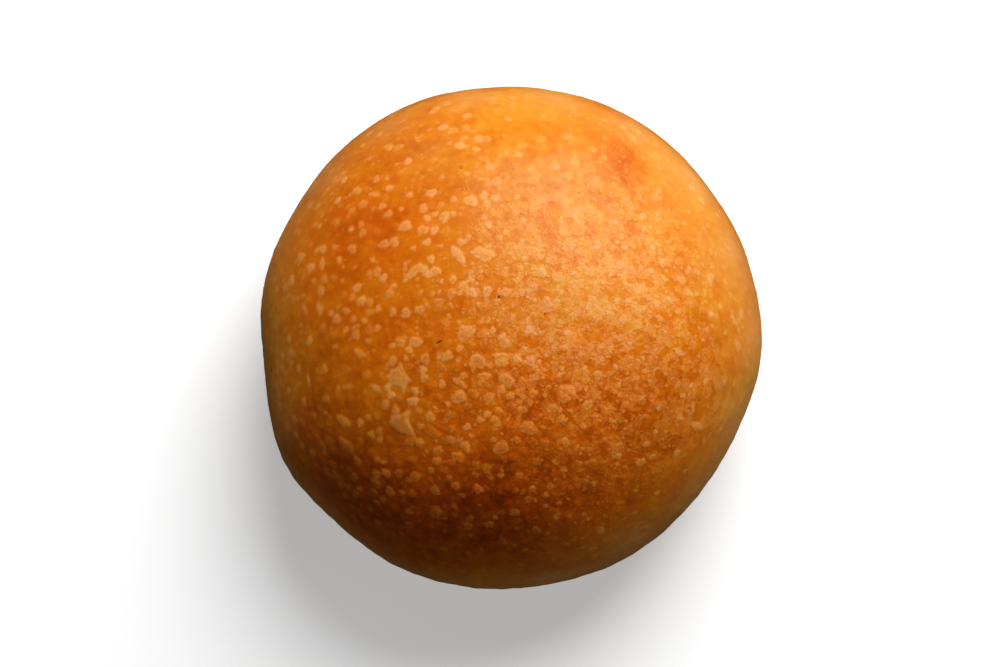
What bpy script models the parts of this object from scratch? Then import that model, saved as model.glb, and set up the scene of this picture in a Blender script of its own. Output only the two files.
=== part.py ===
"""A burger bun: one round, domed roll, baked free-standing on a flat tray.

Sizes are in metres, +Z is up and +Y is the bun's back. The bun stands on the plane
z = 0, and the origin is under the middle of its width and its depth. The bread is one
piece, so it is one solid: a cube cut into a grid, blown up into a ball, and pressed into
the bun's form by the functions below.
"""

import math

import bmesh
import bpy
from mathutils import Vector, noise

# Driving sizes of the bun
DIAMETER = 0.100
HEIGHT = 0.054
BASE_DIAMETER = 0.074
WIDEST_HEIGHT = 0.0205  # of the bun's widest line above the tray
DOME_POWER = 2.08  # 2 is an ellipse, and more is a fuller shoulder
SIDE_POWER = 2.35  # the same for the side that tucks in under the widest line
DOME_LEAN = Vector((0.0012, 0.0004))  # how far the crown sits off the base's middle

# The side view's other sizes follow from those
DOME_RISE = HEIGHT - WIDEST_HEIGHT
BASE_SHARE = BASE_DIAMETER / DIAMETER
SIDE_DROP = WIDEST_HEIGHT / (1 - BASE_SHARE**SIDE_POWER) ** (1 / SIDE_POWER)
BASE_EDGE_ROUNDING = 0.0012

# Swellings and flats round the widest line, as a hand-shaped roll has them:
# (degrees from +X towards +Y, half width in degrees, height)
OUTLINE_LOBES = (
    (355, 9, 0.00055),
    (65, 12, 0.00050),
    (112, 17, 0.00075),
    (150, 15, -0.00050),
    (187, 10, -0.00125),
    (212, 8, 0.00100),
    (247, 12, 0.00100),
    (322, 14, -0.00070),
)

# Slow waves in the crust, where gas pushed the dough unevenly
WAVE_LENGTH = 0.021
WAVE_HEIGHT = 0.00055
WAVE_OFFSET = Vector((3.1, 7.4, 1.7))  # which stretch of the noise is used

# The few blisters wide enough to be felt: (x, y, width) seen from above
BLISTERS = (
    (-0.0228, -0.0085, 0.0050),
    (-0.0222, -0.0182, 0.0060),
    (-0.0012, -0.0066, 0.0046),
    (-0.0062, -0.0072, 0.0042),
    (-0.0008, -0.0122, 0.0050),
    (-0.0018, -0.0237, 0.0056),
    (-0.0336, -0.0252, 0.0044),
    (-0.0342, -0.0166, 0.0042),
    (-0.0120, -0.0310, 0.0044),
    (-0.0087, 0.0262, 0.0050),
    (-0.0100, -0.0015, 0.0048),
    (-0.0145, 0.0125, 0.0046),
    (-0.0055, 0.0140, 0.0050),
    (0.0052, -0.0225, 0.0044),
    (0.0118, -0.0092, 0.0042),
    (0.0030, 0.0105, 0.0046),
    (0.0165, -0.0262, 0.0044),
    (0.0190, 0.0040, 0.0042),
    (0.0240, 0.0190, 0.0044),
    (0.0060, 0.0300, 0.0046),
)
BLISTER_HEIGHT = 0.00035

# The mesh: cells along each side of the cube it starts from
CELLS = 34

CRUST_COLOUR = (0.55, 0.19, 0.035, 1.0)
CRUST_ROUGHNESS = 0.5


def clear_scene():
    """Removes what the file opened with."""
    for obj in list(bpy.data.objects):
        bpy.data.objects.remove(obj)


def widest_radius(azimuth):
    """Half the bun's width in one direction, in radians from +X, with its swellings."""
    radius = DIAMETER / 2
    for degrees, half_width, height in OUTLINE_LOBES:
        away = math.degrees(azimuth) - degrees
        away = (away + 180) % 360 - 180
        radius += height * math.exp(-((away / half_width) ** 2) / 2)
    return radius


def bun_point(direction):
    """The crust's point that lies in a direction from the middle of the widest line."""
    across = math.hypot(direction.x, direction.y)
    radius = widest_radius(math.atan2(direction.y, direction.x))
    if direction.z > 0:
        rise, power = DOME_RISE, DOME_POWER
    else:
        rise, power = SIDE_DROP, SIDE_POWER
    reach = ((across / radius) ** power + (abs(direction.z) / rise) ** power) ** (-1 / power)
    point = direction * reach
    crown = max(0.0, point.z / DOME_RISE)
    point.xy += DOME_LEAN * crown**2
    point.z += WIDEST_HEIGHT
    return point


def wave(point):
    """The slow unevenness of the crust at a point."""
    return WAVE_HEIGHT * noise.noise(point / WAVE_LENGTH + WAVE_OFFSET)


def blister_rise(point, centres):
    """How far the wide blisters lift the crust at a point."""
    rise = 0.0
    for centre, width in centres:
        share = (point - centre).length / (width / 2)
        if share < 1:
            rise = max(rise, BLISTER_HEIGHT * (1 - share**2) ** 2)
    return rise


def settle_on_tray(height):
    """Flattens what would sink into the tray, with a small round at the base's edge."""
    if height >= BASE_EDGE_ROUNDING:
        return height
    if height <= -BASE_EDGE_ROUNDING:
        return 0.0
    return (height + BASE_EDGE_ROUNDING) ** 2 / (4 * BASE_EDGE_ROUNDING)


def ball_direction(corner):
    """Spreads a point of the cube evenly over a ball, as a direction of length 1."""
    spread = (math.tan(part * math.pi / 4) for part in corner)
    return Vector(spread).normalized()


def blister_centres():
    """Where each wide blister sits on the dome, found straight up from its x and y."""
    centres = []
    for x, y, width in BLISTERS:
        flat = Vector((x, y)) - DOME_LEAN
        share = flat.length / widest_radius(math.atan2(y, x))
        z = DOME_RISE * (1 - share**DOME_POWER) ** (1 / DOME_POWER)
        centres.append((Vector((x, y, z + WIDEST_HEIGHT)), width))
    return centres


def press_into_form(mesh):
    """Moves each vertex of the cube's grid to its place on the bun."""
    centres = blister_centres()
    for vertex in mesh.verts:
        direction = ball_direction(vertex.co)
        point = bun_point(direction)
        lift = wave(point)
        if direction.z > 0:
            lift += blister_rise(point, centres)
        point += direction * lift
        point.z = settle_on_tray(point.z)
        vertex.co = point


def join_base(mesh):
    """Makes the many cells that lie flat on the tray one face."""
    flat = [face for face in mesh.faces if all(vertex.co.z == 0 for vertex in face.verts)]
    bmesh.ops.dissolve_faces(mesh, faces=flat, use_verts=True)


def centre_on_origin(mesh):
    """Puts the origin under the middle of the bun's width and depth."""
    for axis in (0, 1):
        reach = [vertex.co[axis] for vertex in mesh.verts]
        middle = (min(reach) + max(reach)) / 2
        for vertex in mesh.verts:
            vertex.co[axis] -= middle


def bun_mesh():
    """The whole bun as one closed mesh."""
    mesh = bmesh.new()
    bmesh.ops.create_cube(mesh, size=2)
    bmesh.ops.subdivide_edges(mesh, edges=mesh.edges, cuts=CELLS - 1, use_grid_fill=True)
    press_into_form(mesh)
    join_base(mesh)
    centre_on_origin(mesh)
    bmesh.ops.recalc_face_normals(mesh, faces=mesh.faces)
    data = bpy.data.meshes.new("bun")
    mesh.to_mesh(data)
    mesh.free()
    data.shade_smooth()
    return data


def crust_material():
    """Golden baked crust."""
    material = bpy.data.materials.new("crust")
    material.use_nodes = True
    shader = material.node_tree.nodes["Principled BSDF"]
    shader.inputs["Base Color"].default_value = CRUST_COLOUR
    shader.inputs["Roughness"].default_value = CRUST_ROUGHNESS
    shader.inputs["Metallic"].default_value = 0.0
    return material


def main():
    clear_scene()
    collection = bpy.data.collections.new("Burger bun")
    bpy.context.scene.collection.children.link(collection)
    bun = bpy.data.objects.new("bun", bun_mesh())
    bun.data.materials.append(crust_material())
    collection.objects.link(bun)


main()
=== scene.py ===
# %% [markdown]
# # A burger bun
# The bun is one round roll, seen from almost straight above. Its form comes ready made, as
# a plain solid at its real size. This lesson gives that solid its skin: the blisters and
# flakes of a well baked crust, its golden to brown colours, and a little gloss. Everything
# is in metres, with the bun standing on the floor at the origin.

# %% Load the plain bun
import math

import bmesh
import bpy
import numpy as np
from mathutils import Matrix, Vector, noise
from mathutils.bvhtree import BVHTree
from mathutils.kdtree import KDTree


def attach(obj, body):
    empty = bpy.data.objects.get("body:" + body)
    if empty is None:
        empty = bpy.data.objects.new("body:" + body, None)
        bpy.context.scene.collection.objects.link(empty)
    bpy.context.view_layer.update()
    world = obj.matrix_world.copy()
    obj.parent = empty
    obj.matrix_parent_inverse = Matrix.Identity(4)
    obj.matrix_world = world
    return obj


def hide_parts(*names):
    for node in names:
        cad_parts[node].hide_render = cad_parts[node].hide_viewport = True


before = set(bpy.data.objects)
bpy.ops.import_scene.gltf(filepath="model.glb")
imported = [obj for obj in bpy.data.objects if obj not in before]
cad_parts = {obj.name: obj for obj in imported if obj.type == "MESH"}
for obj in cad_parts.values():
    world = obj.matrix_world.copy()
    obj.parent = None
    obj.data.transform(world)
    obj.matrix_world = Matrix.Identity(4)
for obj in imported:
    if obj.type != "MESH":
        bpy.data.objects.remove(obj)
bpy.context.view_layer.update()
plain_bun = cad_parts["bun"]
MM = 0.001

# %% [markdown]
# The camera comes first, because the larger marks on the crust are placed by where the
# photograph shows them. The bun's outline is a near circle and its blisters shrink alike
# towards every edge, so the camera looks down steeply. A long lens from half a metre away
# gives the weak perspective of the photograph. A camera could also be aimed with a Track To
# constraint, but a fixed rotation is easier to work back from.

# %% Camera
IMAGE_WIDTH, IMAGE_HEIGHT = 1000, 667
CAMERA_ELEVATION = math.radians(79)
CAMERA_DISTANCE = 0.55
CAMERA_AIM = Vector((-0.0022, 0.0002, 0.022))

camera_data = bpy.data.cameras.new("camera")
camera_data.lens = 100
camera_data.sensor_width = 36
camera = bpy.data.objects.new("camera", camera_data)
bpy.context.scene.collection.objects.link(camera)
bpy.context.scene.camera = camera
towards_camera = Vector((0, -math.cos(CAMERA_ELEVATION), math.sin(CAMERA_ELEVATION)))
camera.location = CAMERA_AIM + CAMERA_DISTANCE * towards_camera
camera.rotation_euler = (math.pi / 2 - CAMERA_ELEVATION, 0, 0)
print("The camera stands at", [round(part, 3) for part in camera.location], "m")

# %% [markdown]
# A mark is named by its place in the photograph, 1000 by 667 pixels. A ray from the camera
# through that pixel finds the point of the crust under it, so that the mark lies on the
# bun and stays there from every side.

# %% From a pixel of the photograph to a point on the crust
bpy.context.view_layer.update()
crust_tree = BVHTree.FromObject(plain_bun, bpy.context.evaluated_depsgraph_get())
PIXELS_TO_SLOPE = camera_data.sensor_width / camera_data.lens / IMAGE_WIDTH
PIXEL = 0.2 * MM  # the width of crust that a pixel shows


def on_crust(pixel_x, pixel_y):
    """The point of the bun that the photograph shows at a pixel."""
    across = (pixel_x - IMAGE_WIDTH / 2) * PIXELS_TO_SLOPE
    down = (pixel_y - IMAGE_HEIGHT / 2) * PIXELS_TO_SLOPE
    ray = camera.rotation_euler.to_matrix() @ Vector((across, -down, -1))
    point = crust_tree.ray_cast(camera.location, ray.normalized())[0]
    return np.array(point)


crown = on_crust(512, 337)
print("The middle of the bun in the picture lies at", np.round(crown / MM, 1), "mm")

# %% [markdown]
# The skin needs much finer faces than the plain solid. One way is to subdivide the solid
# itself, but its triangles would show as facets. So a new skin starts as a cube cut into a
# coarse grid and blown up to a ball, whose points are cast outwards on to the solid. The
# grid is drawn upwards, so that the dome gets more of the faces and the base fewer.

# %% The coarse cage
CAGE_CELLS = 16
GRID_LIFT = 0.8
MIDDLE = Vector((0, 0, 0.0205))


def lifted_direction(corner):
    """A direction from the bun's middle, for a point of a cube of side 2."""
    spread = Vector([math.tan(part * math.pi / 4) for part in corner]).normalized()
    share = math.acos(max(-1, min(1, spread.z))) / math.pi
    polar = math.pi * (share - GRID_LIFT * share**2 * (1 - share))
    turn = math.atan2(spread.y, spread.x)
    flat = math.sin(polar)
    return Vector((flat * math.cos(turn), flat * math.sin(turn), math.cos(polar)))


cage = bmesh.new()
bmesh.ops.create_cube(cage, size=2)
bmesh.ops.subdivide_edges(cage, edges=cage.edges, cuts=CAGE_CELLS - 1, use_grid_fill=True)
for corner in cage.verts:
    corner.co = crust_tree.ray_cast(MIDDLE, lifted_direction(corner.co))[0]
cage_mesh = bpy.data.meshes.new("cage")
cage.to_mesh(cage_mesh)
cage.free()
cage_object = bpy.data.objects.new("cage", cage_mesh)
bpy.context.scene.collection.objects.link(cage_object)
print("The cage has", len(cage_mesh.polygons), "faces")

# %% [markdown]
# A Subdivision Surface modifier rounds the cage and cuts each face into 64, about half a
# millimetre wide. Its result becomes a mesh of its own, and numpy arrays of its points make
# the sculpting below quick.

# %% The fine skin
SUBDIVISIONS = 3
rounding = cage_object.modifiers.new("rounding", "SUBSURF")
rounding.levels = SUBDIVISIONS
rounding.render_levels = SUBDIVISIONS
bpy.context.view_layer.update()
graph = bpy.context.evaluated_depsgraph_get()
skin = bpy.data.meshes.new_from_object(cage_object.evaluated_get(graph))
skin.name = "crust"
bpy.data.objects.remove(cage_object)
bpy.data.meshes.remove(cage_mesh)


def read(values, name, width):
    """A mesh's values as an array with one row for each element."""
    flat = np.empty(len(values) * width)
    values.foreach_get(name, flat)
    return flat.reshape(-1, width)


place = read(skin.vertices, "co", 3)
outward = read(skin.vertices, "normal", 3)
face_middle = read(skin.polygons, "center", 3)
face_area = read(skin.polygons, "area", 1)[:, 0]
print("The skin has", len(place), "points and", len(skin.polygons), "faces,")
print("and a face is on average", round(math.sqrt(face_area.mean()) / MM, 2), "mm wide")

# %% [markdown]
# A crust changes slowly from place to place, in how brown and how yellow it is and in how
# its blisters lie. Each such change is a sum of soft round spots, and a spot is named by its
# place in the photograph, its radius and how much it adds to a number. A painted map would
# say the same with an image, but a few spots can be read and changed.

# %% Soft spots
def spots(points, listed):
    """The sum of soft round spots, (pixel x, pixel y, radius in pixels, amount)."""
    total = np.zeros(len(points))
    for pixel_x, pixel_y, radius, amount in listed:
        away = np.linalg.norm(points - on_crust(pixel_x, pixel_y), axis=1)
        total += amount * np.exp(-((away / (radius * PIXEL)) ** 2))
    return total


def smooth(value, low, high):
    """Rises from 0 to 1 as a value goes from low to high, with soft ends."""
    share = np.clip((value - low) / (high - low), 0, 1)
    return share * share * (3 - 2 * share)


print("A spot of 100 pixels is", 100 * PIXEL / MM, "mm in radius on the crust")

# %% [markdown]
# A bun isn't baked evenly, and these spots also paint its light and shade. Its lower left
# side in the photograph is deep brown, partly from baking and partly as painted shade, away
# from the lamp. Its upper right is pale gold, partly as painted light where the lamp falls,
# and the near rim and the left edge are paled as painted light too. Patches of orange and
# brown lie between. The spots add up to a number that runs from 0, pale straw, to 1, dark
# brown, and it holds the painted light and shade as well as the browning. Low on the side
# the crust stays pale, and the base is brown from the tray. Those two need no spots: they
# follow from the height above the floor and from the way the skin faces.

# %% Browning, with painted light and shade
EVEN_BAKE = 0.41
# Spots that darken the near left and the lower right are partly painted shade. Spots that pale the
# crown, the near rim and the left edge are partly painted light.
BROWNING_AND_PAINTED_SHADING = [
    (590, 235, 110, -0.20),  # the pale crown
    (700, 200, 60, -0.12),
    (520, 96, 60, -0.20),
    (610, 325, 60, -0.11),
    (745, 330, 60, -0.12),
    (720, 440, 50, -0.06),
    (745, 400, 40, -0.12),
    (640, 540, 50, -0.06),
    (268, 320, 50, -0.22),
    (272, 395, 50, -0.14),
    (668, 160, 50, -0.12),
    (600, 540, 50, -0.08),
    (430, 530, 100, 0.30),  # the deep brown of the near left side
    (515, 508, 70, 0.29),
    (376, 484, 30, 0.05),
    (505, 467, 22, -0.08),
    (616, 340, 30, -0.03),
    (472, 295, 30, 0.04),
    (669, 469, 40, 0.08),
    (614, 514, 40, 0.09),
    (548, 539, 40, 0.06),
    (480, 480, 40, 0.07),
    (345, 470, 60, 0.24),
    (615, 480, 70, 0.11),
    (610, 395, 60, 0.08),
    (490, 375, 60, 0.12),
    (615, 380, 45, 0.08),
    (670, 420, 60, 0.04),
    (568, 350, 40, 0.05),
    (712, 340, 40, 0.07),
    (616, 295, 35, -0.04),
    (472, 438, 30, -0.06),
    (376, 335, 30, 0.09),
    (424, 342, 30, 0.08),
    (328, 292, 35, 0.06),
    (328, 388, 35, 0.06),
    (575, 300, 40, -0.09),
    (720, 250, 40, -0.08),
    (480, 585, 60, -0.26),
    (365, 235, 44, 0.12),  # orange patches on the left
    (412, 168, 42, 0.07),
    (500, 262, 50, -0.05),
    (328, 244, 30, 0.04),
    (620, 155, 24, 0.20),
    (625, 175, 40, 0.05),
    (670, 370, 36, 0.03),
    (566, 98, 36, -0.10),
    (662, 148, 30, -0.06),
    (540, 405, 34, 0.06),
    (330, 365, 60, 0.12),
    (495, 343, 40, -0.05),
    (424, 290, 30, -0.04),
    (400, 386, 34, -0.05),
    (472, 440, 24, -0.04),
    (472, 386, 24, 0.05),
]
SIDE_TOP, SIDE_BOTTOM = 0.031, 0.020  # heights above the floor
SIDE_SHARE, SIDE_BAKE = 0.55, 0.12
BASE_TOP, BASE_BOTTOM = 0.0035, 0.0008
SLANTING, FACING_DOWN = -0.6, -0.9  # the upward part of the skin's direction
BASE_BAKE = 0.72

bake_and_shading = EVEN_BAKE + spots(place, BROWNING_AND_PAINTED_SHADING)
side = smooth(place[:, 2], SIDE_TOP, SIDE_BOTTOM)
facing_down = smooth(outward[:, 2], SLANTING, FACING_DOWN)
base = smooth(place[:, 2], BASE_TOP, BASE_BOTTOM) * facing_down
bake_and_shading = bake_and_shading * (1 - SIDE_SHARE * side) + SIDE_BAKE * side
bake_and_shading = bake_and_shading * (1 - base) + BASE_BAKE * base
print("Browning runs from", bake_and_shading.min().round(2), "to", bake_and_shading.max().round(2))

# %% [markdown]
# The crust is covered in small blisters, where steam lifted a thin skin off the dough. They
# catch the light, and stay paler than the crust between them. They could be a displacement
# texture, but then each would be like the next. Here each blister is raised on its own: it
# has a place, a radius, an uneven outline and a height, and the points of the skin within
# reach of it are lifted. It also leaves each point a number that says how far inside the
# blister's edge it lies, and the colours are mixed by that number later.

# %% What a blister leaves on the skin
EDGE_REACH = 0.6 * MM
RISE_STARTS, RISE_ENDS = -0.1, 0.9  # shares of the way from the edge to the middle
ASLANT = (0.31, 0.87, 0.39)  # any direction that no blister faces straight
lift = np.zeros(len(place))
inside = np.full(len(place), -EDGE_REACH / MM)
pale = np.zeros(len(place))
finder = KDTree(len(place))
for number, point in enumerate(place):
    finder.insert(point, number)
finder.balance()


def points_near(centre, reach):
    """The numbers of the skin's points within reach of a place, and two directions along it."""
    found = np.array([number for _, number, _ in finder.find_range(centre, reach)])
    up = outward[found].mean(axis=0)
    first = np.cross(up, ASLANT)
    first /= np.linalg.norm(first)
    second = np.cross(up / np.linalg.norm(up), first)
    return found, first, second


def swell(found, depth, full_depth, height, paleness):
    """Lifts points by how deep they lie inside an outline, and notes that depth."""
    share = smooth(depth / full_depth, RISE_STARTS, RISE_ENDS)
    lift[found] = np.maximum(lift[found], height * share)
    deeper = depth / MM > inside[found]
    inside[found[deeper]] = depth[deeper] / MM
    pale[found[deeper]] = paleness


print("A blister's edge fades over", EDGE_REACH / MM, "mm")

# %% [markdown]
# Most blisters are round or a little long. Such a one is the strip of crust that lies within
# a radius of a short line, and it narrows towards the ends of that line. Its edge wavers by
# a few sine waves with chance starts, because a clean circle would look drawn.

# %% Round and long blisters
WAVERS = ((2, 1.0), (3, 0.8), (5, 0.6), (8, 0.35))  # waves round the edge, and strength
WIDEST_WAVER = 2  # how far out an edge wavers, in times its raggedness
END_TAPER = 0.4


def raise_blister(start, end, radius, height, paleness, ragged, draw):
    """Lifts a blister round the line from start to end."""
    middle, half_way = (start + end) / 2, (end - start) / 2
    half_length = np.linalg.norm(half_way)
    reach = half_length + radius * (1 + WIDEST_WAVER * ragged) + EDGE_REACH
    found, first, second = points_near(middle, reach)
    away = place[found] - middle
    angle = np.arctan2(away @ second, away @ first)
    if half_length > 0:
        along = np.clip(away @ half_way / half_length**2, -1, 1)
        away = away - along[:, None] * half_way
        radius = radius * (1 - END_TAPER * along**2)
    wavering = np.zeros(len(found))
    for waves, strength in WAVERS:
        wavering += strength * np.sin(waves * angle + draw.uniform(0, 2 * math.pi))
    edge = radius * (1 + ragged * wavering)
    swell(found, edge - np.linalg.norm(away, axis=1), np.max(radius), height, paleness)


print("An edge wavers", [waves for waves, _ in WAVERS], "times round a blister")

# %% [markdown]
# A few flakes are so wide that their own outline shows: a star, a wedge with a tail, an
# arch, a leaf, a shell and an ear. Each is drawn by its corners, as pixels of the
# photograph. They could be modelled as thin pieces laid on the bun, but a real flake is
# part of the crust, so its outline only says which of the skin's points are lifted.

# %% The outlines of flakes with corners
CORNERED_FLAKES = {
    "star": [(400, 363), (403, 373), (411, 380), (407, 385), (404, 394), (399, 387), (391, 385),
             (386, 378), (390, 369), (396, 368)],
    "wedge": [(411, 409), (409, 420), (413, 430), (417, 442), (410, 437), (403, 433), (395, 429),
              (388, 423), (391, 415), (402, 413)],
    "arch": [(401, 283), (405, 274), (413, 265), (420, 261), (427, 267), (431, 277), (426, 279),
             (420, 273), (411, 279), (406, 284)],
    "leaf": [(468, 252), (474, 248), (480, 246), (486, 249), (492, 249), (496, 255), (490, 261),
             (483, 263), (476, 258)],
    "shell": [(469, 358), (474, 353), (480, 354), (485, 358), (486, 367), (482, 372), (477, 367),
              (472, 374), (469, 366)],
    "ear": [(497, 374), (504, 371), (511, 376), (515, 382), (510, 388), (504, 385), (498, 381)],
}
print("Flakes drawn by their corners:", ", ".join(CORNERED_FLAKES))

# %% [markdown]
# A point's depth inside a flake is its distance to the nearest side, with a little noise so
# that the edge isn't ruled. Whether it is inside at all is found by counting how many sides
# lie to one hand of it: an odd number means inside.

# %% Flakes with corners
FLAKE_EDGE, FLAKE_HEIGHT = 1.2 * MM, 0.08 * MM
FLAKE_PALENESS = 0.88
UNEVEN_SIZE, UNEVEN_DEPTH = 1.1 * MM, 0.25 * MM
taken_places, taken_radii = [], []


def wrinkle(point, size, stretch=1.0):
    """Smooth noise of about -1 to 1, with waves of a size, longer upwards by a stretch."""
    return noise.noise(Vector((point[0], point[1], point[2] / stretch)) / size)


def depth_inside(points, corners):
    """How deep flat points lie inside an outline, and below 0 outside it."""
    nearest = np.full(len(points), np.inf)
    crossings = np.zeros(len(points), dtype=int)
    for start, end in zip(corners, np.roll(corners, -1, axis=0)):
        run, away = end - start, points - start
        along = np.clip(away @ run / (run @ run), 0, 1)
        nearest = np.minimum(nearest, np.linalg.norm(away - along[:, None] * run, axis=1))
        level = (start[1] > points[:, 1]) != (end[1] > points[:, 1])
        crossings += level & (away[:, 0] < away[:, 1] * run[0] / run[1])
    return np.where(crossings % 2 == 1, nearest, -nearest)


for corners in CORNERED_FLAKES.values():
    outline = np.array([on_crust(*corner) for corner in corners])
    middle = outline.mean(axis=0)
    width = np.linalg.norm(outline - middle, axis=1).max()
    found, first, second = points_near(middle, width + EDGE_REACH)
    flat = np.stack([first, second], axis=1)
    depth = depth_inside((place[found] - middle) @ flat, (outline - middle) @ flat)
    depth += UNEVEN_DEPTH * np.array([wrinkle(point, UNEVEN_SIZE) for point in place[found]])
    swell(found, depth, FLAKE_EDGE, FLAKE_HEIGHT, FLAKE_PALENESS)
    taken_places.append(middle)
    taken_radii.append(np.linalg.norm(outline - middle, axis=1).mean())
print("The highest flake with corners stands", round(lift.max() / MM, 2), "mm proud")

# %% [markdown]
# The other wide blisters that can be told apart in the photograph are placed one by one.
# The rest follow by chance below, and keep clear of these.

# %% The places of wide blisters
ROUND_BLISTERS = [  # (pixel x, pixel y, width in pixels)
    (501, 361, 13), (459, 397, 14), (458, 457, 12), (405, 226, 13), (423, 230, 12),
    (394, 242, 11), (471, 201, 13), (352, 249, 11), (465, 333, 16), (415, 342, 13),
    (425, 359, 11), (424, 378, 9), (442, 384, 9), (495, 421, 11), (529, 428, 15),
    (501, 448, 15), (415, 477, 12), (531, 361, 10), (533, 378, 8), (389, 188, 9),
    (408, 161, 9), (376, 179, 9), (357, 288, 10), (383, 278, 9), (369, 273, 7),
    (335, 247, 8), (339, 260, 8), (382, 206, 9), (401, 209, 6), (351, 229, 7),
    (353, 319, 8), (364, 321, 7), (346, 330, 8), (406, 313, 11), (393, 312, 9),
    (378, 309, 8), (309, 341, 10), (335, 347, 8), (303, 402, 10), (325, 413, 7),
    (360, 423, 9), (379, 431, 9), (371, 435, 9), (377, 460, 8), (391, 395, 9),
    (385, 405, 10), (338, 389, 8), (444, 217, 12), (461, 242, 9), (435, 271, 11),
    (431, 259, 9), (463, 376, 8), (482, 381, 8), (520, 392, 10), (522, 410, 10),
    (552, 408, 11), (562, 420, 10), (564, 398, 11), (459, 441, 7), (467, 427, 8),
    (480, 420, 8), (517, 440, 8), (671, 300, 9), (688, 292, 7), (711, 314, 7),
    (704, 340, 6), (609, 313, 7), (725, 383, 8), (678, 385, 7), (647, 444, 8),
    (470, 519, 8), (464, 138, 9), (488, 138, 9), (508, 119, 9), (473, 131, 7),
    (476, 149, 8), (489, 167, 10), (496, 181, 11), (541, 139, 10), (560, 148, 9),
    (530, 169, 10), (555, 165, 11), (575, 161, 12), (594, 149, 9), (569, 175, 10),
]
LONG_BLISTERS = [  # (pixel x and y of one end, x and y of the other, width in pixels)
    (338, 418, 348, 424, 11),
    (341, 440, 351, 451, 13),
    (303, 306, 305, 315, 8),
    (318, 304, 320, 314, 9),
    (297, 366, 299, 372, 8),
    (307, 376, 309, 386, 7),
    (355, 351, 365, 356, 8),
    (371, 385, 380, 391, 7),
    (343, 387, 352, 387, 7),
    (369, 194, 379, 194, 7),
    (322, 259, 322, 268, 8),
    (455, 380, 466, 387, 7),
    (465, 332, 473, 330, 10),
    (480, 376, 489, 376, 8),
    (494, 356, 508, 358, 9),
    (498, 388, 504, 392, 8),
    (504, 336, 504, 346, 12),
    (675, 349, 683, 355, 7),
    (692, 424, 702, 428, 9),
    (693, 402, 693, 413, 6),
    (453, 247, 462, 262, 10),
]
print(len(ROUND_BLISTERS), "wide blisters are round, and", len(LONG_BLISTERS), "long")

# %% [markdown]
# Each wide blister is raised at its place. Chance, with a fixed seed, gives it an edge and a
# paleness of its own, and the script makes the same bun each time it runs.

# %% The wide blisters
WIDE_HEIGHT = 0.075  # as a share of the radius
WIDE_DIMMEST, WIDE_PALEST = 0.7, 1.0
WIDE_RAGGED = 0.11
draw = np.random.default_rng(7)


def place_wide_blister(start, end, width):
    """Raises one named blister, and notes its place for the scattered ones."""
    radius = width * PIXEL / 2
    start, end = on_crust(*start), on_crust(*end)
    paleness = draw.uniform(WIDE_DIMMEST, WIDE_PALEST)
    raise_blister(start, end, radius, WIDE_HEIGHT * radius, paleness, WIDE_RAGGED, draw)
    taken_places.append((start + end) / 2)
    taken_radii.append(radius + np.linalg.norm(end - start) / 2)


for pixel_x, pixel_y, width in ROUND_BLISTERS:
    place_wide_blister((pixel_x, pixel_y), (pixel_x, pixel_y), width)
for start_x, start_y, end_x, end_y, width in LONG_BLISTERS:
    place_wide_blister((start_x, start_y), (end_x, end_y), width)
print("The widest blister or flake is", round(max(taken_radii) * 2 / MM, 1), "mm long")

# %% [markdown]
# The smaller blisters are scattered by seeded chance. How many there are, and how wide they
# grow, changes over the bun: on the left they are round and apart, in the middle they are
# widest and crowd together, and on the right they are many and fine.

# %% Where blisters crowd, and where they are wide
CROWDING = [
    (490, 400, 90, 1.1),
    (330, 300, 90, -0.20),
    (375, 335, 40, -0.20),
    (400, 180, 60, 0.25),
    (400, 490, 90, 0.25),
    (320, 400, 60, 0.90),
    (690, 420, 60, 0.40),
    (650, 230, 80, 0.40),
    (620, 430, 110, 0.3),
    (530, 530, 60, 0.60),
    (520, 110, 80, -0.30),
]
WIDENING = [
    (470, 390, 110, 0.55),
    (350, 270, 110, 0.45),
    (360, 470, 90, 0.35),
    (320, 400, 70, 0.80),
    (480, 130, 100, 0.45),
    (560, 480, 90, -0.10),
]
LEAST_CROWDING = 0.1
THINNING, NO_BLISTERS = 0.004, 0.001  # heights above the floor
crowding = np.clip(1 + spots(face_middle, CROWDING), LEAST_CROWDING, None)
crowding *= 1 - smooth(face_middle[:, 2], THINNING, NO_BLISTERS)
print("Blisters crowd by", crowding.min().round(1), "to", crowding.max().round(1))

# %% [markdown]
# The radii follow a bell curve of sizes, in which each step up is a multiple: there are many
# small blisters and few large ones, as bubbles are. A particle system could scatter them,
# but a blister has to know how near the next one is. The largest are raised first, and one
# that would lie over another is left out.

# %% The scattered blisters
BLISTERS = 7600
CENTRE_SHIFT = 0.2
SMALLEST, LARGEST = 0.28 * MM, 1.10 * MM
MEDIAN, SPREAD = 0.44 * MM, 0.40
LOWEST, HIGHEST = 0.04, 0.10  # as a share of the radius
DIMMEST, PALEST = 0.15, 1.0
DIM_LEANING = 1.35
RAGGED = 0.10
APART = 0.85  # as a share of two blisters' radii together

chance = face_area * crowding
picked = draw.choice(len(chance), BLISTERS, p=chance / chance.sum())
shifts = draw.uniform(-CENTRE_SHIFT, CENTRE_SHIFT, (BLISTERS, 3)) * MM
centres = face_middle[picked] + shifts
widening = 1 + spots(centres, WIDENING)
radii = MEDIAN * widening * np.exp(SPREAD * draw.standard_normal(BLISTERS))
radii = np.clip(radii, SMALLEST, LARGEST)

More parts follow.
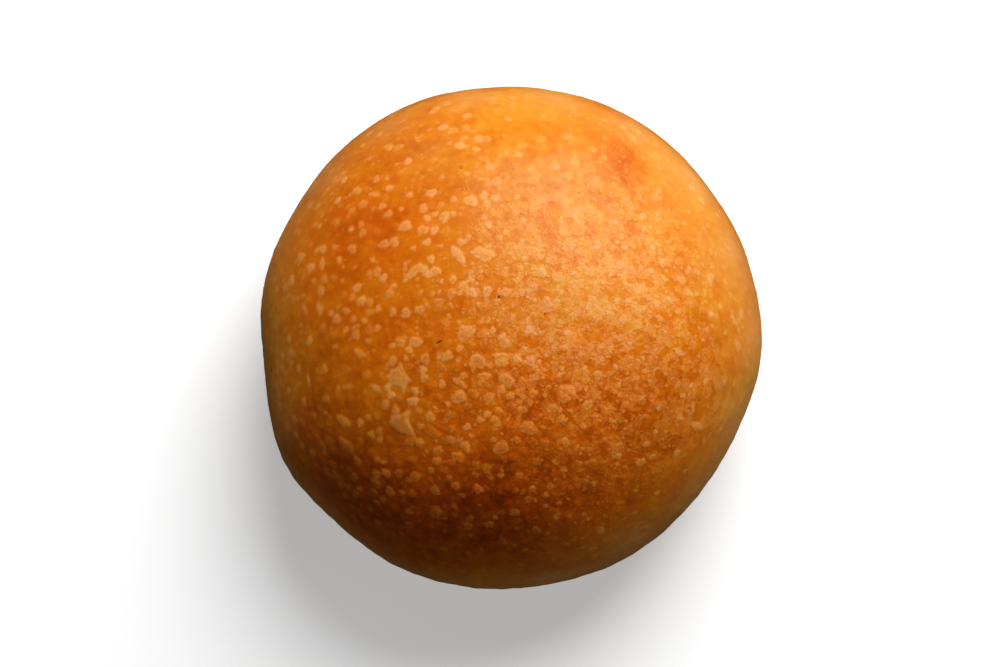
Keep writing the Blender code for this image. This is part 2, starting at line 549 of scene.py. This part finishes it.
taken_places, taken_radii = np.array(taken_places), np.array(taken_radii)
scattered = 0
for number in np.argsort(-radii):
    gaps = np.linalg.norm(taken_places - centres[number], axis=1)
    if np.all(gaps > APART * (taken_radii + radii[number])):
        taken_places = np.vstack([taken_places, centres[number]])
        taken_radii = np.append(taken_radii, radii[number])
        scattered += 1
        height = draw.uniform(LOWEST, HIGHEST) * radii[number]
        paleness = draw.uniform(DIMMEST, PALEST) ** DIM_LEANING
        centre = centres[number]
        raise_blister(centre, centre, radii[number], height, paleness, RAGGED, draw)
print(scattered, "blisters, of", BLISTERS, "tried")

# %% [markdown]
# Some of the widest flakes have sharp folds, which stand a little higher. Each follows a
# line of two or three pixels, and the crust rises round it like a rope under a cloth.

# %% Folds on the flakes
FOLDS = [
    ((400, 364), (404, 374), (410, 381)),
    ((393, 423), (397, 429), (403, 432)),
    ((407, 421), (412, 432), (416, 441)),
    ((476, 354), (484, 361)),
    ((506, 374), (514, 381)),
]
FOLD_WIDTH, FOLD_HEIGHT = 0.32 * MM, 0.05 * MM
fold = np.zeros(len(place))
for line in FOLDS:
    corners = [on_crust(*corner) for corner in line]
    for start, end in zip(corners, corners[1:]):
        run = end - start
        along = np.clip((place - start) @ run / (run @ run), 0, 1)
        away = np.linalg.norm(place - start - along[:, None] * run, axis=1)
        fold = np.maximum(fold, np.exp(-((away / FOLD_WIDTH) ** 2)))
print(len(FOLDS), "folds on the flakes")

# %% [markdown]
# Between the blisters the crust isn't smooth either: it is slightly pebbled, and low on the
# side it has shallow creases, where the dough stretched as it rose. Noise gives both, and
# noise drawn out upwards gives the creases. All the relief is added in one step along the
# skin's own directions, and fades out on the flat base, which only has low pebbles.

# %% Pebbles and creases
PEBBLE_SIZE, PEBBLE_HEIGHT = 1.6 * MM, 0.02 * MM
WAVE_SIZE, WAVE_HEIGHT = 6 * MM, 0.10 * MM
CREASE_SIZE, CREASE_STRETCH, CREASE_HEIGHT = 2.2 * MM, 5, 0.10 * MM
BASE_PEBBLE_HEIGHT = 0.05 * MM

pebbles = np.array([wrinkle(point, PEBBLE_SIZE) for point in place])
waves = np.array([wrinkle(point, WAVE_SIZE) for point in place])
creases = np.array([wrinkle(point, CREASE_SIZE, CREASE_STRETCH) for point in place])
lift += PEBBLE_HEIGHT * pebbles + WAVE_HEIGHT * waves
lift += CREASE_HEIGHT * creases * side * (1 - base)
lift += FOLD_HEIGHT * fold
lift *= 1 - base
lift += base * BASE_PEBBLE_HEIGHT * pebbles.clip(0, None)
skin.vertices.foreach_set("co", (place + outward * lift[:, None]).ravel())
skin.update()
print("The relief runs from", round(lift.min() / MM, 2), "to", round(lift.max() / MM, 2), "mm")

# %% [markdown]
# On the right of the bun fine flaky blisters cover the crust, too small for the mesh. The
# material will draw them, and the number "crowd" tells it how thickly.

# %% Where fine blisters crowd
FINE_CROWDING = [
    (600, 260, 110, 0.80),
    (700, 280, 50, 0.08),
    (725, 400, 50, 0.35),
    (520, 215, 60, 0.30),
    (565, 165, 60, 0.25),
    (630, 185, 50, 0.15),
    (340, 400, 60, 0.35),
    (640, 400, 110, 0.65),
    (510, 370, 90, 0.25),
    (540, 490, 80, 0.14),
]
crowd = np.clip(spots(place, FINE_CROWDING), 0, 1) * (1 - base)
print("Fine blisters cover up to", crowd.max().round(2), "of the crust")

# %% [markdown]
# Browning alone would leave the crust all of one orange. Where the dough is moist or the
# crust thin it is yellower, and where it baked hard it is redder. The number "gold" leans
# the colour to yellow, or below 0 to red.

# %% Where the crust is golden
GOLDEN = [
    (310, 385, 60, 0.30),
    (285, 325, 40, -0.20),
    (322, 352, 36, 0.25),
    (400, 400, 40, 0.15),
    (350, 440, 50, 0.20),
    (740, 420, 60, 0.45),
    (660, 510, 70, 0.50),
    (510, 570, 60, 0.40),
    (520, 140, 70, 0.30),
    (640, 190, 50, -0.06),
    (420, 155, 40, 0.12),
    (412, 106, 34, 0.22),
    (720, 300, 50, 0.15),
    (370, 235, 50, -0.30),
    (540, 415, 40, -0.10),
    (600, 285, 60, -0.16),
    (620, 155, 30, -0.15),
    (440, 500, 40, -0.15),
]
gold = spots(place, GOLDEN)
print("The lean to yellow runs from", gold.min().round(2), "to", gold.max().round(2))

# %% [markdown]
# Blisters are sharp and clear in the middle of the bun. Round its sides, where the oven's
# heat came at a slant, they fade gently into the crust. The number "vivid" is how strongly a
# blister stands out, and "soft" how gradual its edge is. Both also follow the height.

# %% Where blisters fade
FADING = [
    (440, 545, 80, -0.36),
    (320, 480, 50, -0.30),
    (300, 330, 60, -0.25),
    (340, 400, 60, -0.10),
    (347, 446, 14, -0.25),
    (350, 384, 14, -0.20),
    (400, 170, 70, -0.04),
    (620, 360, 50, -0.14),
    (395, 340, 50, -0.12),
    (520, 460, 40, -0.12),
    (545, 532, 45, -0.16),
    (565, 160, 50, -0.28),
    (720, 430, 70, -0.12),
    (520, 115, 70, -0.40),
    (640, 470, 60, -0.05),
]
SOFTENING = [
    (340, 240, 110, 0.60),
    (300, 380, 110, 0.75),
    (350, 480, 90, 0.40),
    (500, 110, 120, 0.90),
    (290, 260, 50, 0.30),
    (565, 165, 60, 0.30),
    (490, 525, 90, 0.34),
    (740, 300, 100, 0.50),
    (700, 440, 80, 0.40),
]
LEAST_VIVID, SHOULDER_FADING = 0.2, 0.5
FADING_STARTS, FADING_ENDS = 0.040, 0.027  # heights above the floor
SOFTENING_STARTS, SOFTENING_ENDS = 0.044, 0.026
shoulder = smooth(place[:, 2], FADING_STARTS, FADING_ENDS)
vivid = np.clip(1 + spots(place, FADING), LEAST_VIVID, 1) * (1 - SHOULDER_FADING * shoulder)
wide_shoulder = smooth(place[:, 2], SOFTENING_STARTS, SOFTENING_ENDS)
soft = np.clip(spots(place, SOFTENING) + wide_shoulder, 0, 1)
print("Blisters keep", vivid.min().round(2), "to", vivid.max().round(2), "of their paleness")

# %% [markdown]
# Below its widest line the bun's side pales to bare dough. Along that line, and in milky
# patches near the top edge, the spots pale the crust further: partly as dough showing
# through, and partly as painted light that brightens the edge. The number "side" is how far
# the crust pales.

# %% Where the side pales, with painted light on its edge
# Spots round the widest line are partly painted light, strongest on the right and far edges, which
# face the lamp.
SIDE_PALENESS_AND_EDGE_LIGHT = [
    (757, 337, 34, 0.46),  # round the widest line, from the right
    (738, 420, 34, 0.42),
    (696, 493, 32, 0.42),
    (633, 547, 32, 0.50),
    (553, 578, 30, 0.40),
    (386, 552, 32, 0.08),
    (318, 498, 32, 0.20),
    (277, 421, 32, 0.20),
    (278, 252, 32, 0.14),
    (322, 179, 32, 0.28),
    (388, 123, 32, 0.28),
    (468, 96, 32, 0.38),
    (554, 96, 32, 0.42),
    (633, 126, 32, 0.46),
    (697, 181, 34, 0.52),
    (739, 254, 34, 0.48),
    (712, 258, 45, 0.16),  # milky patches further in
    (440, 150, 40, 0.12),
    (590, 135, 50, 0.10),
    (662, 158, 30, 0.18),
    (664, 198, 32, 0.12),
]
pale_side_and_edge_light = np.clip(SIDE_SHARE * side + spots(place, SIDE_PALENESS_AND_EDGE_LIGHT), 0, 1)
print("The side pales by up to", pale_side_and_edge_light.max().round(2))

# %% [markdown]
# The skin's points keep all these numbers as named attributes, which the material can read
# and which go wherever the mesh goes. Vertex colours could hold them too, but under the
# names of colours, and only three or four to a layer.

# %% Numbers kept on the skin
def store(name, values):
    """Keeps one number for each point of the skin under a name."""
    values = values.astype(np.float32)
    skin.attributes.new(name, "FLOAT", "POINT").data.foreach_set("value", values)
    print(f"{name:7} runs from {values.min():5.2f} to {values.max():5.2f}")


store("bake_and_shading", bake_and_shading)
store("inside", inside)
store("pale", pale)
store("fold", fold)
store("crowd", crowd)
store("side", pale_side_and_edge_light)
store("base", base)
store("gold", gold)
store("vivid", vivid)
store("soft", soft)

# %% [markdown]
# The crust's finish is one material, built from nodes by code. These helpers keep that code
# short: one adds any node, and the others name what a node does.

# %% Helpers for the material
finish = bpy.data.materials.new("baked crust")
finish.use_nodes = True
nodes = finish.node_tree.nodes
links = finish.node_tree.links


def add(kind, inputs, **options):
    """Adds a node. An input is a number or a colour, or an output to link to."""
    made = nodes.new(kind)
    for option, value in options.items():
        setattr(made, option, value)
    for name, value in inputs.items():
        if isinstance(value, bpy.types.NodeSocket):
            links.new(value, made.inputs[name])
        else:
            made.inputs[name].default_value = value
    return made


def maths(operation, *values):
    """One step of arithmetic on numbers or outputs."""
    return add("ShaderNodeMath", dict(enumerate(values)), operation=operation).outputs[0]


def times(first, *others):
    """The product of numbers or outputs."""
    for other in others:
        first = maths("MULTIPLY", first, other)
    return first


def plus(first, *others):
    """The sum of numbers or outputs."""
    for other in others:
        first = maths("ADD", first, other)
    return first


def ranged(value, low, high, to_low=0.0, to_high=1.0):
    """Maps low..high to to_low..to_high with soft ends."""
    limits = {"Value": value, "From Min": low, "From Max": high}
    limits |= {"To Min": to_low, "To Max": to_high}
    return add("ShaderNodeMapRange", limits, interpolation_type="SMOOTHSTEP").outputs[0]


def mixed(share, first, second, blend="MIX"):
    """Mixes two colours, by a share of the second."""
    parts = {0: share, 6: first, 7: second}
    return add("ShaderNodeMix", parts, data_type="RGBA", blend_type=blend).outputs[2]


def stored(name):
    """A number that the skin's points carry."""
    return add("ShaderNodeAttribute", {}, attribute_name=name).outputs["Fac"]


def noisy(size, detail=2.0, roughness=0.5):
    """Noise around 0.5 with waves of a size in metres."""
    values = {"Vector": where, "Scale": 1 / size, "Detail": detail, "Roughness": roughness}
    return add("ShaderNodeTexNoise", values).outputs["Fac"]


def centred(value):
    """Moves noise around 0.5 to noise around 0."""
    return maths("SUBTRACT", value, 0.5)


where = add("ShaderNodeTexCoord", {}).outputs["Object"]
print("The material starts with", len(nodes), "nodes")

# %% [markdown]
# Two of the skin's numbers steer most of the finish, so each gets a helper of its own: one
# gives a value where blisters are sharp and another where they are soft, and one gives a
# value where fine blisters are sparse and another where they are dense.

# %% Helpers for soft and for dense blisters
softness = stored("soft")
crowded = stored("crowd")


def by_softness(sharp, soft):
    """Goes from one value where blisters are sharp to another where they are soft."""
    return ranged(softness, 0, 1, sharp, soft)


def by_crowding(sparse, dense):
    """Goes from one value where fine blisters are sparse to another where they are dense."""
    return ranged(crowded, 0, 1, sparse, dense)


print("Softness and crowding each run from 0 to 1")

# %% [markdown]
# Each shaped blister is pale inside its edge, in millimetres of depth, and a little less so
# in its middle. Noise makes the edge ragged. Where the blisters are soft the edge is drawn
# out, so that they fade gently.

# %% The shaped blisters' paleness
EDGE_NOISE_SIZE = 0.8 * MM
RIM_DEPTH, MIDDLE_DEPTH, MIDDLE_PALENESS = 0.30, 0.90, 0.72
edge_noise = times(centred(noisy(EDGE_NOISE_SIZE, 3.0, 0.65)), by_softness(1.0, 0.35))
shaped_edge = plus(stored("inside"), edge_noise)
edge_starts = by_softness(sharp=-0.22, soft=-0.50)
edge_ends = by_softness(sharp=0.36, soft=0.75)
shaped = ranged(shaped_edge, edge_starts, edge_ends)
dimming = ranged(shaped_edge, RIM_DEPTH, MIDDLE_DEPTH, 1.0, MIDDLE_PALENESS)
shaped_pale = times(shaped, stored("pale"), dimming)
print("Blisters wider than", round(2 * SMALLEST / MM, 1), "mm are shaped in the mesh")

# %% [markdown]
# Under the blisters that are shaped in the mesh lie finer ones, too small for its faces.
# They come from cell noise: each cell has a middle, and what is close to it is a blister.
# The cells are bent by noise first, so that no blister is a perfect disc.

# %% Bent cells
BEND = 0.9 * MM
bend = add("ShaderNodeTexNoise", {"Vector": where, "Scale": 1 / BEND, "Detail": 1.0})
bent = add("ShaderNodeVectorMath", {0: bend.outputs["Color"], 1: (BEND, BEND, BEND)},
           operation="MULTIPLY").outputs[0]
bent = add("ShaderNodeVectorMath", {0: bent, 1: where}, operation="ADD").outputs[0]
print("Cells are bent by up to", BEND / MM, "mm")

# %% [markdown]
# Each cell also has a colour of its own by chance. One part of it sets how wide the cell's
# blister is, and another how pale, so that no two are alike.

# %% Fine blisters
SMALL_SPACING, TINY_SPACING = 1.3 * MM, 0.75 * MM
LEAST_FINE_PALENESS = 0.15
smallest_share = by_crowding(sparse=0.0, dense=0.55)


def cell_blisters(spacing, width, dense_width):
    """The paleness and the rise, 0 to 1, of fine blisters that lie about a spacing apart."""
    cells = add("ShaderNodeTexVoronoi", {"Vector": bent, "Scale": 1 / spacing})
    own = add("ShaderNodeSeparateColor", {"Color": cells.outputs["Color"]}).outputs
    reach = add("ShaderNodeMapRange", {"Value": own[0], "To Min": smallest_share}).outputs[0]
    reach = times(reach, by_crowding(width, dense_width))
    depth = maths("SUBTRACT", reach, cells.outputs["Distance"])
    low, high = by_softness(sharp=-0.10, soft=-0.30), by_softness(sharp=0.24, soft=0.45)
    own_pale = ranged(own[1], 0, 1, LEAST_FINE_PALENESS, 1.0)
    return times(ranged(depth, low, high), own_pale), ranged(depth, -0.15, 0.45)


small_pale, small_rise = cell_blisters(SMALL_SPACING, 0.62, 0.95)
small_pale = times(small_pale, by_crowding(sparse=0.70, dense=0.95))
small_pale = times(small_pale, by_softness(sharp=1.0, soft=0.5))
tiny_pale, tiny_rise = cell_blisters(TINY_SPACING, 0.52, 0.85)
tiny_pale = times(tiny_pale, by_crowding(sparse=0.50, dense=0.75))
tiny_pale = times(tiny_pale, by_softness(sharp=1.0, soft=0.15))
print("Fine blisters lie", SMALL_SPACING / MM, "and", TINY_SPACING / MM, "mm apart")

# %% [markdown]
# Where fine blisters are dense, creases run between them, and break off here and there. They
# follow the borders of the same cells, so that a crease never cuts a blister in two.

# %% Creases between fine blisters
BREAK_SIZE = 1.6 * MM
CREASE_WIDTH, BORDER_WIDTH = 0.20, 0.22  # as shares of a cell
BORDER_PALENESS = 0.35
border = add("ShaderNodeTexVoronoi", {"Vector": bent, "Scale": 1 / SMALL_SPACING},
             feature="DISTANCE_TO_EDGE").outputs["Distance"]
small_pale = times(small_pale, ranged(border, 0.0, BORDER_WIDTH, BORDER_PALENESS, 1.0))
broken = ranged(noisy(BREAK_SIZE, 3.0, 0.6), 0.44, 0.56)
crease = times(ranged(border, 0.0, CREASE_WIDTH, 1.0, 0.0), broken, crowded)
crease = times(crease, by_softness(sharp=1.0, soft=0.3))
cell_pale = maths("MAXIMUM", small_pale, tiny_pale)
print("A crease is up to", round(2 * CREASE_WIDTH * SMALL_SPACING / MM, 1), "mm wide")

# %% [markdown]
# On the right the fine blisters have run together to a flaky film, with thin gaps where the
# deeper crust shows. Noise of many sizes, cut off sharply on both sides, gives such a film.

# %% The flaky film
FILM_SIZE = 2.8 * MM
GAP_EDGE, FILM_EDGE = 0.44, 0.56
FILM_PALENESS, GAP_BARENESS, CREASE_BARENESS = 0.56, 0.95, 0.45
film = ranged(plus(noisy(FILM_SIZE, 5.0, 0.70), times(crowded, 0.03)), GAP_EDGE, FILM_EDGE)
film_pale = times(film, crowded, FILM_PALENESS)
bare = times(crowded, ranged(film, 0, 1, GAP_BARENESS, 0.0))
fine_pale = maths("MAXIMUM", times(cell_pale, maths("SUBTRACT", 1.0, bare)), film_pale)
fine_pale = times(fine_pale, maths("SUBTRACT", 1.0, times(crease, CREASE_BARENESS)))
print("Waves of the film's edge are", FILM_SIZE / MM, "mm long")

# %% [markdown]
# A blister's thin skin is crinkled, which shows as fine mottling in its paleness. The
# crinkles, the shaped and the fine blisters and the folds now come together in one number,
# which says how much of a blister each place is.

# %% All blisters together
CRINKLE_SIZE = 0.5 * MM
CRINKLE_LOW, CRINKLE_HIGH = 0.32, 0.68
FOLD_PALENESS = 0.75
crinkle = noisy(CRINKLE_SIZE, 4.0, 0.65)
crinkled = ranged(crinkle, CRINKLE_LOW, CRINKLE_HIGH, by_softness(sharp=0.5, soft=0.8), 1.0)
fold_pale = times(stored("fold"), FOLD_PALENESS)
blister = times(maths("MAXIMUM", shaped_pale, fine_pale), crinkled)
blister = times(maths("MAXIMUM", blister, fold_pale), stored("vivid"))
print("The finest crinkles are", CRINKLE_SIZE / MM, "mm wide")

# %% [markdown]
# The colour runs along one scale of baking, from straw through gold and amber to brown. A
# Color Ramp node holds that scale, so every patch of the crust keeps to colours that bread
# really has. Noise of three sizes makes the baking uneven, and a blister is less baked than
# the crust round it.

# %% Colours of baking
BAKING = [
    (0.00, (0.92, 0.40, 0.055, 1)),
    (0.15, (0.89, 0.30, 0.020, 1)),
    (0.35, (0.81, 0.205, 0.004, 1)),
    (0.55, (0.68, 0.130, 0.001, 1)),
    (0.70, (0.53, 0.085, 0.0005, 1)),
    (0.85, (0.36, 0.048, 0.0003, 1)),
    (1.00, (0.21, 0.023, 0.0002, 1)),
]
MOTTLE_SIZE, CLOUD_SIZE, GRAIN_SIZE = 5 * MM, 2.2 * MM, 1.3 * MM
MOTTLING, CLOUDING = 0.50, 0.30
DENSE_BAKE, CREASE_BAKE, GAP_BAKE = 0.03, 0.07, 0.05
PALE_LIGHTENING, BROWN_LIGHTENING = 0.23, 0.30  # of a blister, on pale and on brown crust
mottle = times(centred(noisy(MOTTLE_SIZE, 4.0, 0.6)), MOTTLING)
clouds = times(centred(noisy(CLOUD_SIZE, 2.0, 0.5)), CLOUDING)
grain = times(centred(noisy(GRAIN_SIZE, 3.0, 0.6)), by_softness(sharp=0.30, soft=0.15))
dense_bake = times(crowded, DENSE_BAKE)
gaps = plus(dense_bake, times(crease, CREASE_BAKE), times(bare, GAP_BAKE))
# The stored number holds painted light and shade as well as browning, so the colours read from it
# paint them too.
lightening = ranged(stored("bake_and_shading"), 0.15, 0.5, PALE_LIGHTENING, BROWN_LIGHTENING)
lightening = plus(lightening, dense_bake)
deeper = plus(stored("bake_and_shading"), mottle, clouds, grain, gaps)
baked_and_shaded = maths("SUBTRACT", deeper, times(blister, lightening))
scale = add("ShaderNodeValToRGB", {"Fac": baked_and_shaded})
marks = scale.color_ramp.elements
marks[0].position, marks[0].color = BAKING[0]
marks[1].position, marks[1].color = BAKING[-1]
for position, colour in BAKING[1:-1]:
    marks.new(position).color = colour
print("The scale of baking has", len(marks), "colours")

# %% [markdown]
# A blister's skin is dry, so its colour is a pale one of its own, mixed over the scale: from
# yellowish to whitish by chance, and toasted where the crust is brown. It could be one more
# step down the scale, but a paler crust is yellow, and a dry one is nearly flesh coloured.
# More of it is mixed where the crust is pale, and on the lit crown that whiteness is partly
# painted sheen.

# %% Dry blisters
YELLOW_SKIN = (0.99, 0.450, 0.13, 1)
WHITE_SKIN = (1.0, 0.460, 0.23, 1)
TOASTED_SKIN = (0.98, 0.395, 0.060, 1)
DRY_STARTS, DRIEST = 0.15, 0.92
DRY_ON_PALE, DRY_ON_BROWN = 0.82, 0.36
TOAST_STARTS, TOASTED = 0.36, 0.68
PATCH_SIZE = 2.0 * MM
PATCH_LOW, PATCH_HIGH = 0.36, 0.64
drying = {"Value": blister, "From Min": DRY_STARTS, "From Max": DRIEST}
dryness_and_sheen = add("ShaderNodeMapRange", drying).outputs[0]
# Pale crust gets a larger share, and on the lit crown that share is partly painted sheen.
dryness_and_sheen = times(dryness_and_sheen, ranged(baked_and_shaded, 0.1, 1.0, DRY_ON_PALE, DRY_ON_BROWN))
patches = noisy(PATCH_SIZE, 3.0, 0.55)
dry_skin = mixed(ranged(patches, PATCH_LOW, PATCH_HIGH), YELLOW_SKIN, WHITE_SKIN)
dry_skin = mixed(ranged(stored("bake_and_shading"), TOAST_STARTS, TOASTED), dry_skin, TOASTED_SKIN)
colour = mixed(dryness_and_sheen, scale.outputs["Color"], dry_skin)
print("Blisters dry to", YELLOW_SKIN[:3], "and", WHITE_SKIN[:3])

# %% [markdown]
# The whole crust then leans to red or to yellow in soft patches, by a tint that multiplies
# its colour, because a tint keeps light places light and dark places dark. Last, the side
# pales to bare dough, and round its edge it is paled further as painted light.

# %% Warm and cool patches, and the pale side with its painted edge light
RED_TINT = (1.03, 0.88, 0.85, 1)
YELLOW_TINT = (0.95, 1.16, 1.10, 1)
PALE_SIDE_AND_EDGE_LIGHT = (0.97, 0.435, 0.13, 1)
HUE_SIZE, HUE_SWING = 3.5 * MM, 0.8
LEAST_SIDE, MOST_SIDE = 0.75, 1.2  # the pale side is patchy too
hue = plus(stored("gold"), times(centred(noisy(HUE_SIZE, 3.0, 0.6)), HUE_SWING), 0.5)
colour = mixed(1.0, colour, mixed(hue, RED_TINT, YELLOW_TINT), "MULTIPLY")
patchy = ranged(patches, PATCH_LOW, PATCH_HIGH, LEAST_SIDE, MOST_SIDE)
# Mixing towards this pale colour paints light on the edge as well as pale dough.
colour = mixed(times(stored("side"), patchy), colour, PALE_SIDE_AND_EDGE_LIGHT)
print("Patches of hue are", HUE_SIZE / MM, "mm wide, and the side pales to", PALE_SIDE_AND_EDGE_LIGHT[:3])

# %% [markdown]
# The crust has a few dark specks and pits. They are smaller than the skin's faces, so each
# is a place in the material: what lies close to it is amber, then brown, and it will be sunk
# by the bump. A small image could hold them too, but distances stay sharp at any size.

# %% Specks and pits
SPECKS = [  # (pixel x, pixel y, width in pixels, darkness)
    (499, 297, 3.0, 1.0),
    (437, 343, 2.2, 0.95),
    (439, 342, 2.8, 1.0),
    (441, 341, 2.2, 0.95),
    (461, 167, 4.5, 0.44),
    (420, 196, 6.0, 0.36),
    (579, 193, 3.0, 0.36),
    (600, 193, 3.0, 0.42),
    (611, 276, 2.4, 0.22),
    (613, 277, 3.0, 0.36),
    (616, 277, 3.2, 0.42),
    (545, 314, 1.8, 0.8),
    (271, 370, 4.0, 0.7),
]
SPECK_AMBER = (0.66, 0.15, 0.001, 1)
SPECK_BROWN = (0.27, 0.022, 0.001, 1)
SPECK_CORE, SPECK_EDGE = 0.5, 1.5  # as shares of a speck's radius
AMBER_FULL, BROWN_STARTS = 0.5, 0.35  # of a speck's darkness
speck = 0.0
for pixel_x, pixel_y, width, darkness in SPECKS:
    centre = tuple(on_crust(pixel_x, pixel_y))
    away = add("ShaderNodeVectorMath", {0: where, 1: centre}, operation="DISTANCE").outputs["Value"]
    radius = width * PIXEL / 2
    here = ranged(away, SPECK_CORE * radius, SPECK_EDGE * radius, darkness, 0.0)
    speck = maths("MAXIMUM", speck, here)
colour = mixed(ranged(speck, 0.0, AMBER_FULL), colour, SPECK_AMBER)
colour = mixed(ranged(speck, BROWN_STARTS, 1.0), colour, SPECK_BROWN)
print(len(SPECKS), "specks and pits")

# %% [markdown]
# The bump carries what is finer than the mesh: the fine blisters, the film with its crinkles
# and creases, and the pits. It could be true displacement, but that would need far more
# faces, and nothing this small shows in the outline.

# %% Fine relief
BUMP_HEIGHT = 0.068 * MM  # and the heights below are shares of it
SHAPED_RISE, SMALL_RISE, TINY_RISE, FILM_RISE = 0.7, 0.7, 0.4, 0.35
CRUST_CRINKLES, BLISTER_CRINKLES, DENSE_CRINKLES = 0.35, 1.05, 0.1
CREASE_DEPTH, SPECK_DEPTH = 0.08, 0.25
shaped_rise = ranged(shaped_edge, -0.25, 0.60)
rise = maths("MAXIMUM", times(shaped_rise, SHAPED_RISE), times(small_rise, SMALL_RISE))
rise = maths("MAXIMUM", rise, times(tiny_rise, TINY_RISE))
crinkling = ranged(blister, 0, 0.6, CRUST_CRINKLES, BLISTER_CRINKLES)
crinkling = plus(crinkling, times(crowded, DENSE_CRINKLES))
relief = times(rise, by_crowding(sparse=0.55, dense=0.75))
relief = plus(relief, times(film, crowded, FILM_RISE), times(crinkle, crinkling))
relief = times(relief, by_softness(sharp=1.0, soft=0.35))
relief = maths("SUBTRACT", relief, times(crease, CREASE_DEPTH))
relief = maths("SUBTRACT", relief, times(speck, speck, SPECK_DEPTH))
bump = add("ShaderNodeBump", {"Height": relief, "Distance": BUMP_HEIGHT, "Strength": 1.0})
print("The bump is", round(BUMP_HEIGHT / MM, 3), "mm high")

# %% [markdown]
# The crust has a low gloss, as if brushed with a little fat, and its blisters are duller. A
# little light also goes into the bread and comes out beside, which subsurface scattering
# gives. Dry, fine flakes catch light at a slant, which is a weak warm sheen.

# %% Gloss
CRUST_ROUGHNESS, BLISTER_ROUGHNESS, BASE_ROUGHNESS = 0.32, 0.42, 0.3  # the base's is added
shader = nodes["Principled BSDF"]
roughness = ranged(blister, 0, 0.8, CRUST_ROUGHNESS, BLISTER_ROUGHNESS)
roughness = plus(roughness, times(stored("base"), BASE_ROUGHNESS))
links.new(colour, shader.inputs["Base Color"])
links.new(roughness, shader.inputs["Roughness"])
links.new(bump.outputs["Normal"], shader.inputs["Normal"])
shader.inputs["IOR"].default_value = 1.45
shader.inputs["Specular IOR Level"].default_value = 0.17
shader.inputs["Subsurface Weight"].default_value = 0.35
shader.inputs["Subsurface Radius"].default_value = (1.0, 0.45, 0.15)
shader.inputs["Subsurface Scale"].default_value = 0.6 * MM
shader.inputs["Sheen Weight"].default_value = 0.25
shader.inputs["Sheen Roughness"].default_value = 0.40
shader.inputs["Sheen Tint"].default_value = (1.0, 0.58, 0.20, 1)
print("The finish has", len(nodes), "nodes")

# %% [markdown]
# The skin takes the plain solid's place. The solid stays in the model as what the bun
# collides with, and the skin moves with the same body. The two could be shown together, but
# where they nearly touch the solid's facets would come through.

# %% The crust in its place
crust = bpy.data.objects.new("crust", skin)
bpy.context.scene.collection.objects.link(crust)
skin.shade_smooth()
skin.materials.clear()
skin.materials.append(finish)
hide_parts("bun")
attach(crust, "root")
print("The crust stands for the plain bun")

# %% [markdown]
# The bun stands on a plain white floor, which isn't part of it. White paper lit by one lamp
# would turn grey in the shade, so a little light of its own keeps it pale. The floor throws
# no light back at the bun, whose near side is as dark as in the photograph.

# %% Floor
FLOOR_SIZE = 4.0
FLOOR_GLOW = 0.36
floor_mesh = bpy.data.meshes.new("floor")
half = FLOOR_SIZE / 2
floor_corners = [(-half, -half, 0), (half, -half, 0), (half, half, 0), (-half, half, 0)]
floor_mesh.from_pydata(floor_corners, [], [(0, 1, 2, 3)])
floor = bpy.data.objects.new("floor", floor_mesh)
bpy.context.scene.collection.objects.link(floor)
paper = bpy.data.materials.new("white paper")
paper.use_nodes = True
paper_shader = paper.node_tree.nodes["Principled BSDF"]
paper_shader.inputs["Base Color"].default_value = (0.9, 0.9, 0.9, 1)
paper_shader.inputs["Roughness"].default_value = 0.9
paper_shader.inputs["Emission Color"].default_value = (1, 1, 1, 1)
paper_shader.inputs["Emission Strength"].default_value = FLOOR_GLOW
floor_mesh.materials.append(paper)
floor.visible_diffuse = False
floor.visible_glossy = False
print("The floor is", FLOOR_SIZE, "m wide")

# %% [markdown]
# In the photograph the far right of the bun is bright and the near left falls into shade,
# softly. So one large lamp stands behind the bun on the right, half way up. Two weak low
# lamps stand for white cards, which throw light on the bun's right and left edges, and
# aren't mirrored in its gloss. A sun lamp could serve too, but a large lamp close by gives
# softer shade, and weakens across the bun as in the photograph.

# %% Lights
LAMP_DISTANCE = 0.9
LAMP_SIZE = 0.75
KEY_TURN = math.radians(67)
KEY_ELEVATION = math.radians(45)
KEY_POWER = 10.4
CARDS = [("right card", -20, 0.62), ("left card", 140, 0.45)]  # name, turn and power
CARD_ELEVATION = math.radians(12)


def round_lamp(name, turn, elevation, power):
    """A soft round lamp that shines at the bun from a direction."""
    flat = math.cos(elevation)
    direction = Vector((flat * math.cos(turn), flat * math.sin(turn), math.sin(elevation)))
    data = bpy.data.lights.new(name, "AREA")
    data.shape = "DISK"
    data.size = LAMP_SIZE
    data.energy = power
    lamp = bpy.data.objects.new(name, data)
    lamp.location = direction * LAMP_DISTANCE
    lamp.rotation_euler = direction.to_track_quat("Z", "Y").to_euler()
    bpy.context.scene.collection.objects.link(lamp)
    return lamp


key = round_lamp("key", KEY_TURN, KEY_ELEVATION, KEY_POWER)
for name, turn, power in CARDS:
    card = round_lamp(name, math.radians(turn), CARD_ELEVATION, power)
    card.visible_glossy = False
print("The lamp stands at", [round(part, 2) for part in key.location], "m, with two cards")

# %% [markdown]
# The world is white and dim, and only fills the shade. It isn't seen in the gloss, because
# a white sky mirrored all over would make the crust look wet. The Standard view keeps the
# photograph's strong orange, which Filmic or AgX would grey.

# %% Shade
SHADE = 0.08
world = bpy.data.worlds.new("world")
bpy.context.scene.world = world
world.use_nodes = True
background = world.node_tree.nodes["Background"]
background.inputs["Color"].default_value = (1, 1, 1, 1)
background.inputs["Strength"].default_value = SHADE
world.cycles_visibility.glossy = False
bpy.context.scene.view_settings.view_transform = "Standard"
print("The world's light is", SHADE)
